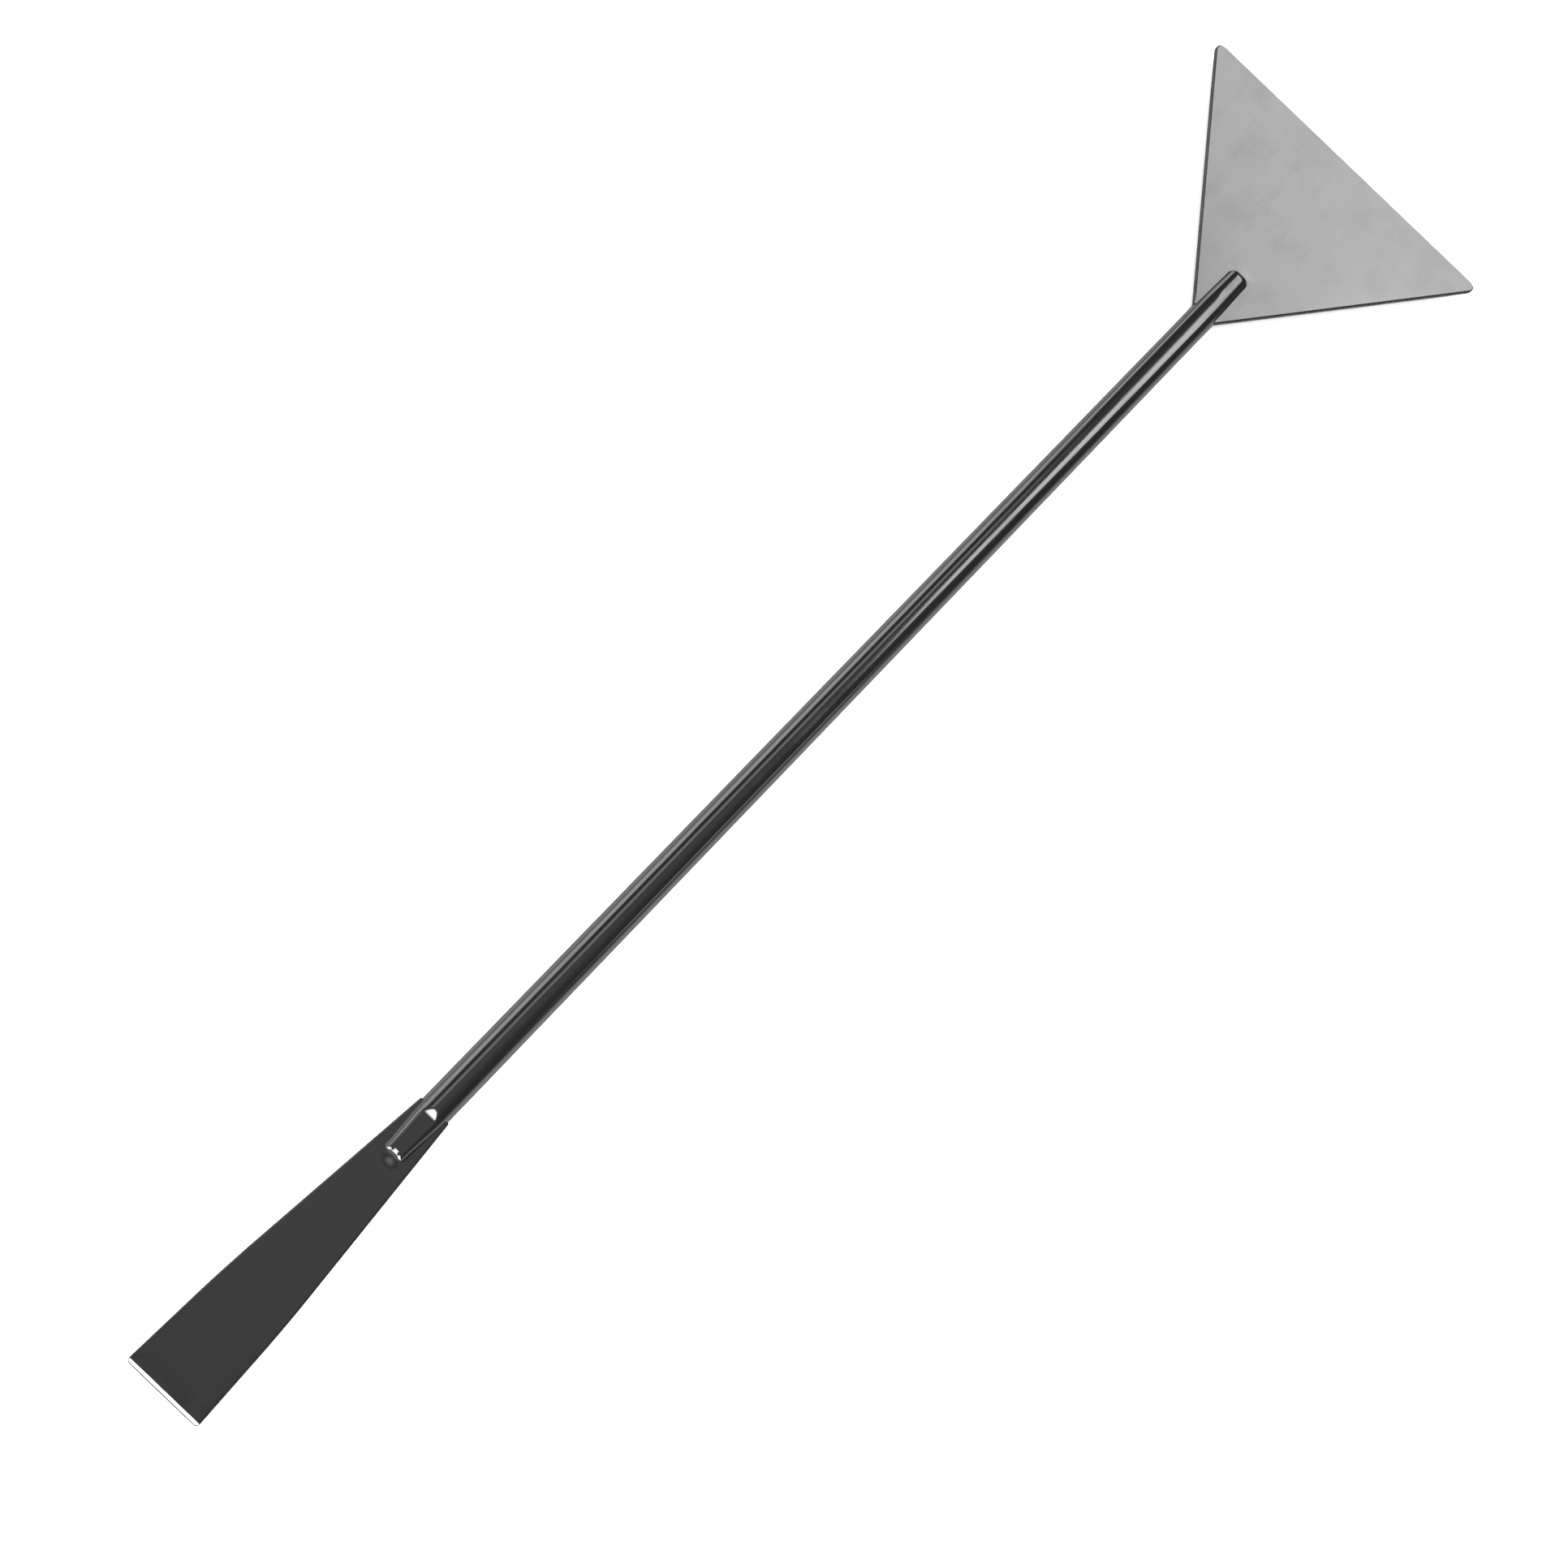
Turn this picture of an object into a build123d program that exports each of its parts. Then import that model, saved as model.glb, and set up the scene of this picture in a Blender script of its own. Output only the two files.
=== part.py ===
"""Two-ended algae scraper for planted tanks, all stainless steel.

A thin round tube is the handle. Each of its ends is sawn with a flat slot that takes a blade:
a triangular blade for levelling sand at the +X end, and a narrow tapered scraper at the -X end.
The part of the tube above each slot is a tongue that lies on its blade and is pressed down on it.
The part below is a half-round jaw that carries the blade, and tack beads join the two underneath.

+X runs along the tool towards the triangular blade, +Y across it, +Z up out of the blades' faces.
The origin is midway along the tool, on its middle line, level with the lowest line of the tube.
"""

import os
from math import sqrt

from build123d import *

# Driving dimensions, in millimetres.
TOOL_LENGTH = 320.0
BLADE_THICKNESS = 1.0
BLADE_EDGE_RADIUS = 0.3

TUBE_RADIUS = 2.5
TUBE_WALL = 0.5
SLOT_ABOVE_AXIS = 0.15  # from the tube's axis up to the floor of both slots

SAND_BLADE_WIDTH = 65.0
SAND_BLADE_HEIGHT = 54.5  # from the working edge to where the two sides would meet
SAND_BLADE_LENGTH = 50.0  # from the working edge to the square end inside the slot
SAND_BLADE_CORNER = 1.3
SAND_TONGUE_LENGTH = 11.3
SAND_TONGUE_CORNER = 0.9

SCRAPER_LENGTH = 57.9
SCRAPER_TIP_WIDTH = 13.0
SCRAPER_SHOULDER_WIDTH = 11.6
SCRAPER_SHOULDER_FROM_TIP = 19.0
SCRAPER_ROOT_WIDTH = 5.5
SCRAPER_CORNER = 0.6
SCRAPER_TONGUE_LENGTH = 9.5
SCRAPER_TONGUE_CORNER = 0.25
SCRAPER_TONGUE_END_HALF_WIDTH = 1.85
SCRAPER_TONGUE_END_RISE = 1.15

# The flats that the press leaves on the tongues: depth below the free tube, and the ramp into each.
SAND_PRESS_DEPTH = 0.08
SAND_PRESS_START = 3.1
SCRAPER_PRESS_DEPTH = 0.35
SCRAPER_PRESS_START = 0.2
PRESS_RAMP = 2.3

# The scraper's working end: a long shallow relief, then a short ground bevel.
RELIEF_LENGTH = 3.2
RELIEF_DEPTH = 0.1
BEVEL_LENGTH = 0.35
BEVEL_DEPTH = 0.27

BEAD_LEG = 0.55  # width under the blade, beside the jaw
BEAD_DROP = 0.7425  # depth, before the jaw's round side is cut from it
BEAD_TRIM = 0.2  # how far it is drawn into the jaw before that cut
BEAD_GAP_TO_TUBE_END = 0.3
SAND_BEAD_LENGTH = 8.0
SCRAPER_BEAD_LENGTH = 3.2

# Places that follow from them.
BLADE_FLOOR = TUBE_RADIUS + SLOT_ABOVE_AXIS
BLADE_TOP = BLADE_FLOOR + BLADE_THICKNESS
SAND_EDGE_X = TOOL_LENGTH / 2
SAND_ROOT_X = SAND_EDGE_X - SAND_BLADE_LENGTH
SAND_TUBE_END_X = SAND_ROOT_X + SAND_TONGUE_LENGTH
TIP_X = -TOOL_LENGTH / 2
SCRAPER_ROOT_X = TIP_X + SCRAPER_LENGTH
SCRAPER_TUBE_END_X = SCRAPER_ROOT_X - SCRAPER_TONGUE_LENGTH

# The tube's own section above the blades, before it is pressed.
FREE_RISE = TUBE_RADIUS - SLOT_ABOVE_AXIS - BLADE_THICKNESS
FREE_HALF_WIDTH = sqrt(TUBE_RADIUS**2 - (TUBE_RADIUS - FREE_RISE) ** 2)
FREE_HALF_WIDTH_INSIDE = sqrt((TUBE_RADIUS - TUBE_WALL) ** 2 - (TUBE_RADIUS - FREE_RISE) ** 2)
TONGUE_FOOT = FREE_HALF_WIDTH - FREE_HALF_WIDTH_INSIDE


def block(x0, x1, y0, y1, z0, z1):
    """A box between two corners."""
    size = abs(x1 - x0), abs(y1 - y0), abs(z1 - z0)
    return Pos((x0 + x1) / 2, (y0 + y1) / 2, (z0 + z1) / 2) * Box(*size)


def plate(outline, corners, corner_radius):
    """A blade blank: an outline with some of its corners rounded, given the blade's thickness."""
    face = make_face(Polyline(*outline, close=True))
    rounded = [v for v in face.vertices() if any((v.X, v.Y) == (x, y) for x, y in corners)]
    face = fillet(rounded, corner_radius)
    return Pos(0, 0, BLADE_FLOOR) * extrude(face, BLADE_THICKNESS)


def flat_edges(blank):
    """The edges that run round the top and bottom faces of a blade blank."""
    return [e for e in blank.edges() if abs(e.start_point().Z - e.end_point().Z) < 1e-6]


def sand_blade():
    """The triangular blade. Its sides would meet inside the slot, and it is cut square short of that."""
    half_edge = SAND_BLADE_WIDTH / 2
    half_root = half_edge * (1 - SAND_BLADE_LENGTH / SAND_BLADE_HEIGHT)
    front = [(SAND_EDGE_X, -half_edge), (SAND_EDGE_X, half_edge)]
    outline = [(SAND_ROOT_X, -half_root), *front, (SAND_ROOT_X, half_root)]
    blank = plate(outline, front, SAND_BLADE_CORNER)
    outside_slot = [e for e in flat_edges(blank) if e.center().X > SAND_ROOT_X + 0.01]
    return fillet(outside_slot, BLADE_EDGE_RADIUS)


def scraper_blade():
    """The narrow blade, wider towards its tip, with a relieved and bevelled working end."""
    shoulder_x = TIP_X + SCRAPER_SHOULDER_FROM_TIP
    left_side = [
        (SCRAPER_ROOT_X, SCRAPER_ROOT_WIDTH / 2),
        (shoulder_x, SCRAPER_SHOULDER_WIDTH / 2),
        (TIP_X, SCRAPER_TIP_WIDTH / 2),
    ]
    right_side = [(x, -y) for x, y in reversed(left_side)]
    tip_corners = [left_side[-1], right_side[0]]
    blank = plate(left_side + right_side, tip_corners, SCRAPER_CORNER)
    long_edges = [e for e in flat_edges(blank) if abs(e.tangent_at(0).X) > 0.9]
    blank = fillet(long_edges, BLADE_EDGE_RADIUS)
    side_view = Plane(origin=(0, SCRAPER_TIP_WIDTH, 0), x_dir=(1, 0, 0), z_dir=(0, -1, 0))
    relief_top = BLADE_TOP - RELIEF_DEPTH
    ground_away = Polyline(
        (TIP_X - 1, BLADE_TOP + 1),
        (TIP_X - 1, BLADE_TOP - BEVEL_DEPTH),
        (TIP_X, BLADE_TOP - BEVEL_DEPTH),
        (TIP_X + BEVEL_LENGTH, relief_top),
        (TIP_X + RELIEF_LENGTH, BLADE_TOP),
        (TIP_X + RELIEF_LENGTH, BLADE_TOP + 1),
        close=True,
    )
    cutter = extrude(side_view * make_face(ground_away), 2 * SCRAPER_TIP_WIDTH)
    return blank - cutter


def arch(x, half_width, rise):
    """The section of a tongue at x: the tube's wall, bent to an arc that stands on the blade."""
    section = Plane(origin=(x, 0, BLADE_TOP), x_dir=(0, 1, 0), z_dir=(1, 0, 0))
    inside = half_width - TONGUE_FOOT
    outer = ThreePointArc((-half_width, 0), (0, rise), (half_width, 0))
    inner = ThreePointArc((inside, 0), (0, rise - TUBE_WALL), (-inside, 0))
    feet = [Line((half_width, 0), (inside, 0)), Line((-inside, 0), (-half_width, 0))]
    return section * make_face([outer, feet[0], inner, feet[1]])


def tongue(root_x, end_x, end_half_width, end_rise, corner):
    """The tongue from the root of a slot to the tube's end, its end corners rounded in plan."""
    arches = [arch(root_x, FREE_HALF_WIDTH, FREE_RISE), arch(end_x, end_half_width, end_rise)]
    if end_x < root_x:
        arches.reverse()
    strip = loft(arches, ruled=True)
    plan = make_face(
        Polyline(
            (root_x, -TUBE_RADIUS),
            (end_x, -end_half_width),
            (end_x, end_half_width),
            (root_x, TUBE_RADIUS),
            close=True,
        )
    )
    rounded = [v for v in plan.vertices() if abs(v.X - end_x) < 1e-6]
    plan = fillet(rounded, corner)
    return strip & (Pos(0, 0, BLADE_TOP) * extrude(plan, 2 * TUBE_RADIUS))


def press_cut(root_x, end_x, start, depth):
    """What the press takes off a tongue's crown: a ramp near the slot's root, then a level flat."""
    along = 1 if end_x > root_x else -1
    crown = BLADE_TOP + FREE_RISE
    side_view = Plane(origin=(0, TUBE_RADIUS, 0), x_dir=(1, 0, 0), z_dir=(0, -1, 0))
    profile = Polyline(
        (root_x + along * start, crown),
        (root_x + along * (start + PRESS_RAMP), crown - depth),
        (end_x + along, crown - depth),
        (end_x + along, crown + 1),
        (root_x + along * start, crown + 1),
        close=True,
    )
    return extrude(side_view * make_face(profile), 2 * TUBE_RADIUS)


def handle_tube():
    """The tube, with a slot in each end and a pressed tongue over each slot."""
    length = SAND_TUBE_END_X - SCRAPER_TUBE_END_X
    middle = (SAND_TUBE_END_X + SCRAPER_TUBE_END_X) / 2
    axis = Pos(middle, 0, TUBE_RADIUS) * Rot(0, 90, 0)
    tube = axis * (Cylinder(TUBE_RADIUS, length) - Cylinder(TUBE_RADIUS - TUBE_WALL, length))
    over = 2 * TUBE_RADIUS + 1
    for root_x, end_x in ((SAND_ROOT_X, SAND_TUBE_END_X), (SCRAPER_ROOT_X, SCRAPER_TUBE_END_X)):
        tube -= block(root_x, end_x, -over, over, BLADE_FLOOR, over)
    tube += tongue(SAND_ROOT_X, SAND_TUBE_END_X, FREE_HALF_WIDTH, FREE_RISE, SAND_TONGUE_CORNER)
    tube += tongue(
        SCRAPER_ROOT_X,
        SCRAPER_TUBE_END_X,
        SCRAPER_TONGUE_END_HALF_WIDTH,
        SCRAPER_TONGUE_END_RISE,
        SCRAPER_TONGUE_CORNER,
    )
    tube -= press_cut(SAND_ROOT_X, SAND_TUBE_END_X, SAND_PRESS_START, SAND_PRESS_DEPTH)
    tube -= press_cut(SCRAPER_ROOT_X, SCRAPER_TUBE_END_X, SCRAPER_PRESS_START, SCRAPER_PRESS_DEPTH)
    return tube


def tack_beads(end_x, inward, length):
    """Two beads in the corners between the lower jaw and the underside of a blade."""
    start_x = end_x + inward * BEAD_GAP_TO_TUBE_END
    beads = []
    for side in (-1, 1):
        inner = side * (TUBE_RADIUS - BEAD_TRIM)
        toe = side * (TUBE_RADIUS + BEAD_LEG)
        section = make_face(
            Polyline(
                (inner, BLADE_FLOOR),
                (toe, BLADE_FLOOR),
                (inner, BLADE_FLOOR - BEAD_DROP),
                close=True,
            )
        )
        across = Plane(origin=(start_x, 0, 0), x_dir=(0, 1, 0), z_dir=(1, 0, 0))
        prism = extrude(across * section, inward * length)
        core = Pos(start_x + inward * length / 2, 0, TUBE_RADIUS) * Rot(0, 90, 0)
        beads.append(prism - core * Cylinder(TUBE_RADIUS, 2 * length))
    return Compound(children=beads)


nodes = {
    "handle_tube": handle_tube(),
    "sand_blade": sand_blade(),
    "scraper_blade": scraper_blade(),
    "sand_blade_tacks": tack_beads(SAND_TUBE_END_X, -1, SAND_BEAD_LENGTH),
    "scraper_tacks": tack_beads(SCRAPER_TUBE_END_X, 1, SCRAPER_BEAD_LENGTH),
}

os.makedirs("parts", exist_ok=True)
for name, shape in nodes.items():
    export_step(shape, f"parts/{name}.step")
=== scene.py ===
"""A two-ended stainless algae scraper, with its finishes and a small studio.

The file is laid out as an add-on and is run as a script. The CAD frame gives every place: the handle tube
lies along X, the triangular sand blade is at its +X end and the narrow scraper blade at its -X end. The
tongues, which are the tube's upper lips, lie on the blades' upper faces.
Everything is in metres, and lengths written as a number times MM are millimetres.
"""

from math import cos, exp, pi, radians, sin, sqrt

import bmesh
import bpy
from bpy.props import FloatProperty, FloatVectorProperty, IntProperty, PointerProperty
from mathutils import Matrix, Vector


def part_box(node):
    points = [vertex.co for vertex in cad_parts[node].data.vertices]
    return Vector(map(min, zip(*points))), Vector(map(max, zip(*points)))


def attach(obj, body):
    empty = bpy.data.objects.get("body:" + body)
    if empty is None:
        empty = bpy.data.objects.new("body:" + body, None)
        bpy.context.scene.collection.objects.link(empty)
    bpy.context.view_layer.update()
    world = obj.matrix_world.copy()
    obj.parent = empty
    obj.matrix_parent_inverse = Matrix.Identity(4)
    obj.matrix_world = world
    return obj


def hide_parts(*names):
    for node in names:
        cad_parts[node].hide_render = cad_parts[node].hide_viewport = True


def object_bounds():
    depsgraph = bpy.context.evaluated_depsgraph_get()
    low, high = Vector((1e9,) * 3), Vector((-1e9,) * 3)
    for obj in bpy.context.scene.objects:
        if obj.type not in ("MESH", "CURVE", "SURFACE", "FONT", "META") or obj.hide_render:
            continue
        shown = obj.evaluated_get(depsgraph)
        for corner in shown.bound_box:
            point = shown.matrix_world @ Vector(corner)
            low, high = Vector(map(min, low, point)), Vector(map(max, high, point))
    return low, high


bl_info = {
    "name": "Two-Ended Algae Scraper",
    "version": (1, 0, 0),
    "blender": (4, 5, 0),
    "location": "View3D > Sidebar > Algae Scraper",
    "description": "Models a stainless algae scraper and sand leveller with its finishes and a studio",
    "category": "Add Mesh",
}

MM = 0.001
MICRON = 1e-6
HAIR = 1e-6  # two places closer than this are the same place
CREASED = 0.5  # an edge with more crease than this is on the wall's outer rim
END_FACING = 0.6  # a face is at the tube's end when this much of its normal is along X

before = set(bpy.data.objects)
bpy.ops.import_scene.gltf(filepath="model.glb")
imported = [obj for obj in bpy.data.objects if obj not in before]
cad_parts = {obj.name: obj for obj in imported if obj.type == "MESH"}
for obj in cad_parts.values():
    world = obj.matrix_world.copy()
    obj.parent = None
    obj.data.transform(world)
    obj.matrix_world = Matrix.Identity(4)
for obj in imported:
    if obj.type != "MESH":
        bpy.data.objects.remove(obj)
CAD_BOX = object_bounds()
TUBE_LOW, TUBE_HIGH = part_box("handle_tube")
SAND_LOW, SAND_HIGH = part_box("sand_blade")
SCRAPER_LOW, SCRAPER_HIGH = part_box("scraper_blade")

TUBE_RADIUS = (TUBE_HIGH.z - TUBE_LOW.z) / 2
AXIS_Z = TUBE_LOW.z + TUBE_RADIUS
BLADE_FLOOR = SAND_LOW.z
BLADE_TOP = SAND_HIGH.z
TONGUE_FOOT = sqrt(TUBE_RADIUS**2 - (BLADE_TOP - AXIS_Z) ** 2)  # half the tongue's width where it lands
SCRAPER_ROOT = SCRAPER_HIGH.x
SAND_ROOT = SAND_LOW.x


# ---------------------------------------------------------------- modelling helpers


def clear_selection():
    """Operators act on all that is selected, so nothing is left selected before a primitive is added."""
    bpy.ops.object.select_all(action="DESELECT")


def make_active(piece):
    """Makes the piece the only selected object."""
    clear_selection()
    piece.select_set(True)
    bpy.context.view_layer.objects.active = piece


def start_edit(piece):
    make_active(piece)
    bpy.ops.object.mode_set(mode="EDIT")


def end_edit():
    bpy.ops.object.mode_set(mode="OBJECT")


def pick(piece, kind, test):
    """In edit mode, selects exactly the verts, edges or faces that pass the test."""
    mesh = bmesh.from_edit_mesh(piece.data)
    bpy.context.tool_settings.mesh_select_mode = [kind == k for k in ("verts", "edges", "faces")]
    for group in (mesh.verts, mesh.edges, mesh.faces):
        for element in group:
            element.select = False
    mesh.select_mode = {{"verts": "VERT", "edges": "EDGE", "faces": "FACE"}[kind]}
    found = [element for element in getattr(mesh, kind) if test(element)]
    if not found:
        raise RuntimeError(f"{piece.name}: nothing to select")
    for element in found:
        element.select_set(True)
    mesh.select_flush_mode()
    bmesh.update_edit_mesh(piece.data)


def place_along(point):
    """A point's X, rounded so that the points of one ring share it."""
    return round(point.x, 7)


def places_along(piece, test):
    """The different X places of the points that pass the test, in order."""
    mesh = bmesh.from_edit_mesh(piece.data)
    return sorted({place_along(v.co) for v in mesh.verts if test(v.co)})


def middle(element):
    """The middle of an edge or a face."""
    total = Vector()
    for vert in element.verts:
        total += vert.co
    return total / len(element.verts)


def near(a, b, reach=HAIR):
    return abs(a - b) < reach


def scale(factors, centre):
    """Scales the selection about a point."""
    bpy.ops.transform.resize(value=factors, center_override=centre)


def shift(offset, reach=0.0):
    """Moves the selection, and with a reach also what lies within it, more weakly further away."""
    if reach:
        bpy.ops.transform.translate(
            value=offset,
            use_proportional_edit=True,
            proportional_edit_falloff="SMOOTH",
            proportional_size=reach,
        )
    else:
        bpy.ops.transform.translate(value=offset)


def extrude(offset):
    """Extrudes the selection and leaves the new part selected."""
    bpy.ops.mesh.extrude_region_move(TRANSFORM_OT_translate={"value": offset})


def cut(point, normal, drop_outer=False):
    """Cuts the selection with a plane; dropping the outer side closes the cut again."""
    bpy.ops.mesh.bisect(
        plane_co=point,
        plane_no=Vector(normal).normalized(),
        use_fill=drop_outer,
        clear_outer=drop_outer,
        threshold=1e-7,
    )


def turn_outwards():
    """Makes every face of the open piece point outwards."""
    bpy.ops.mesh.select_all(action="SELECT")
    bpy.ops.mesh.normals_make_consistent(inside=False)


def steps(start, stop, count):
    """Evenly spaced numbers from start to stop, both included."""
    return [start + (stop - start) * i / count for i in range(count + 1)]


def ease(t):
    """A smooth step from 0 to 1."""
    t = min(1.0, max(0.0, t))
    return t * t * (3 - 2 * t)


def apply_modifier(piece, kind, **settings):
    """Adds a modifier with these settings and applies it."""
    make_active(piece)
    modifier = piece.modifiers.new(kind.title(), kind)
    for key, value in settings.items():
        setattr(modifier, key, value)
    bpy.ops.object.modifier_apply(modifier=modifier.name)


def smooth_faces(piece, angle):
    """Smooth shading, kept crisp at edges sharper than the angle, with flat faces kept flat."""
    make_active(piece)
    bpy.ops.object.shade_smooth_by_angle(angle=angle)
    apply_modifier(piece, "WEIGHTED_NORMAL", keep_sharp=True)


def finish_piece(piece, node, materials):
    """Gives a finished piece its materials, hangs it under the root body and hides the CAD node it
    replaces.
    """
    for material in materials:
        piece.data.materials.append(material)
    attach(piece, "root")
    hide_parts(node)


# ---------------------------------------------------------------- sizes, colours and studio settings


def size_property(name, millimetres, description):
    """A length setting, whose default is given in millimetres."""
    return FloatProperty(
        name=name, description=description, default=millimetres * MM, unit="LENGTH", precision=5
    )


def factor_property(name, default, description):
    """A setting from 0 to 1."""
    return FloatProperty(
        name=name, description=description, default=default, subtype="FACTOR", min=0, max=1
    )


def angle_property(name, degrees, description):
    """An angle setting, whose default is given in degrees."""
    return FloatProperty(name=name, description=description, default=radians(degrees), subtype="ANGLE")


def grey_property(name, grey, description):
    """A colour setting, whose default is a neutral grey."""
    return FloatVectorProperty(
        name=name, description=description, subtype="COLOR", size=3, default=(grey,) * 3, min=0, max=1
    )


class ScraperSizes(bpy.types.PropertyGroup):
    """Sizes that a maker would change."""

    tube_sides: IntProperty(name="Tube sides", description="Facets round the tube", default=96, min=24)
    tube_wall: size_property("Tube wall", 0.5, "Wall thickness of the handle tube")
    rim_radius: size_property("Tongue rim", 0.2, "Rounding of the outer edge at the ends of the tube")
    sand_press: size_property("Sand tongue press", 0.07, "How deep the sand blade's tongue is pressed")
    scraper_press: size_property("Scraper tongue press", 0.37, "How deep the scraper's tongue is pressed")
    edge_radius: size_property("Blade edge radius", 0.3, "Rounding of the blades' buffed edges")
    sand_width: size_property("Sand blade width", 65.0, "Working edge, between its corners left sharp")
    sand_height: size_property("Sand blade height", 54.5, "From the working edge to where the sides meet")
    sand_corner: size_property("Sand blade corner", 2.56, "From the sharp corner to the rounding")
    scraper_root_width: size_property("Scraper root width", 5.5, "Width of the end in the tube's slot")
    scraper_shoulder_width: size_property("Scraper shoulder width", 11.6, "Width where the taper changes")
    scraper_shoulder: size_property("Scraper shoulder", 19.0, "From the tip to where the taper changes")
    scraper_tip_width: size_property("Scraper tip width", 13.0, "Width of the tip, corners left sharp")
    scraper_corner: size_property("Scraper corner", 0.6, "Radius of the tip's corners")
    relief_length: size_property("Relief length", 3.2, "Length of the ground zone behind the bevel")
    relief_depth: size_property("Relief depth", 0.1, "How much the ground zone thins the tip")
    bevel_length: size_property("Bevel length", 0.35, "Length of the bevel at the tip, along the tool")
    bevel_depth: size_property("Bevel depth", 0.27, "Depth of the bevel at the tip")
    bead_radius: size_property("Weld bead radius", 0.42, "Half the thickness of a weld bead")


class ScraperFinish(bpy.types.PropertyGroup):
    """Colours and polish of the steel."""

    steel: grey_property("Steel", 0.62, "Colour of the polished steel")
    hazed_steel: grey_property("Hazed steel", 0.55, "Colour of the steel in its duller patches")
    ground_steel: grey_property("Ground steel", 0.42, "Colour of the ground edges")
    worn_steel: grey_property("Worn steel", 0.33, "Colour of the ground edges where they are worn")
    weld: grey_property("Weld metal", 0.44, "Colour of the cleaned weld beads")
    tube_polish: factor_property("Tube roughness", 0.12, "Polish of the tube, 0 is a mirror")
    blade_polish: factor_property("Blade roughness", 0.15, "Polish of the blades' faces")
    edge_polish: factor_property("Edge roughness", 0.24, "Polish of the blades' edges")
    weld_polish: factor_property("Weld roughness", 0.42, "Roughness of the weld beads")


class ScraperStudio(bpy.types.PropertyGroup):
    """The camera and the studio's brightness."""

    aim_along: size_property("Aim along", -20.17, "Where along the tool the camera aims")
    aim_across: size_property("Aim across", -3.69, "How far beside the tube the camera aims")
    distance: size_property("Camera distance", 594.8, "From the camera to the point it aims at")
    elevation: angle_property("Camera elevation", 55.74, "Height over the blades' plane")
    roll: angle_property("Camera roll", 46.25, "How far the sand blade is turned up")
    lens: FloatProperty(name="Lens", description="Focal length in millimetres", default=89.46)
    wash: FloatProperty(
        name="Wash", description="Brightness of the light over the floor", default=4.5, min=0
    )


class ScraperSettings(bpy.types.PropertyGroup):
    """All the settings of the tool."""

    sizes: PointerProperty(type=ScraperSizes)
    finish: PointerProperty(type=ScraperFinish)
    studio: PointerProperty(type=ScraperStudio)


# ---------------------------------------------------------------- materials


class Finish:
    """A metal finish that is put together node by node on Object coordinates."""

    def __init__(self, name):
        self.material = bpy.data.materials.new(name)
        self.material.use_nodes = True
        self.tree = self.material.node_tree
        self.shader = self.tree.nodes["Principled BSDF"]
        self.shader.inputs["Metallic"].default_value = 1.0
        self.place = self.node("ShaderNodeTexCoord").outputs["Object"]
        self.relief = None

    def node(self, kind, inputs=(), **settings):
        """Adds a node; inputs pairs a socket's name or number with a value or another node's output."""
        new = self.tree.nodes.new(kind)
        for key, value in settings.items():
            setattr(new, key, value)
        for socket, value in dict(inputs).items():
            if isinstance(value, bpy.types.NodeSocket):
                self.tree.links.new(value, new.inputs[socket])
            else:
                new.inputs[socket].default_value = value
        return new

    def grain(self, size, detail=3.0, roughness=0.5):
        """Noise whose grains are about this long in X, Y and Z, as a number from 0 to 1."""
        stretch = self.node(
            "ShaderNodeMapping", {"Vector": self.place, "Scale": [1 / length for length in size]}
        )
        noise = self.node(
            "ShaderNodeTexNoise",
            {"Vector": stretch.outputs[0], "Scale": 1.0, "Detail": detail, "Roughness": roughness},
        )
        return noise.outputs["Fac"]

    def spread(self, value, low, high, new_low, new_high):
        """Maps the stretch from low to high onto new_low to new_high, smoothly and held at the ends."""
        ramp = self.node(
            "ShaderNodeMapRange",
            {"Value": value, 1: low, 2: high, 3: new_low, 4: new_high},
            interpolation_type="SMOOTHSTEP",
        )
        return ramp.outputs["Result"]

    def join(self, operation, a, b):
        """A sum, product and so on of two values."""
        return self.node("ShaderNodeMath", {0: a, 1: b}, operation=operation).outputs[0]

    def colour_from(self, value, colours):
        """Blends between two colours by a value from 0 to 1, and gives the blend to the shader."""
        blend = self.node("ShaderNodeMix", {"Factor": value}, data_type="RGBA")
        for name, colour in zip(("A", "B"), colours):
            socket = next(i for i in blend.inputs if i.name == name and i.type == "RGBA")
            socket.default_value = (*colour, 1)
        result = next(o for o in blend.outputs if o.type == "RGBA")
        self.tree.links.new(result, self.shader.inputs["Base Color"])

    def roughness_from(self, value):
        self.tree.links.new(value, self.shader.inputs["Roughness"])

    def raise_by(self, height, depth):
        """Adds a layer of relief: height from 0 to 1, over a depth in metres."""
        settings = {"Height": height, "Strength": 1.0, "Distance": depth}
        if self.relief:
            settings["Normal"] = self.relief
        self.relief = self.node("ShaderNodeBump", settings).outputs[0]
        self.tree.links.new(self.relief, self.shader.inputs["Normal"])

    def vary_polish(self, value, polish, change):
        """A roughness that goes from change below polish to change above it, as value goes up."""
        return self.spread(value, 0.3, 0.7, polish - change, polish + change)


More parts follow.
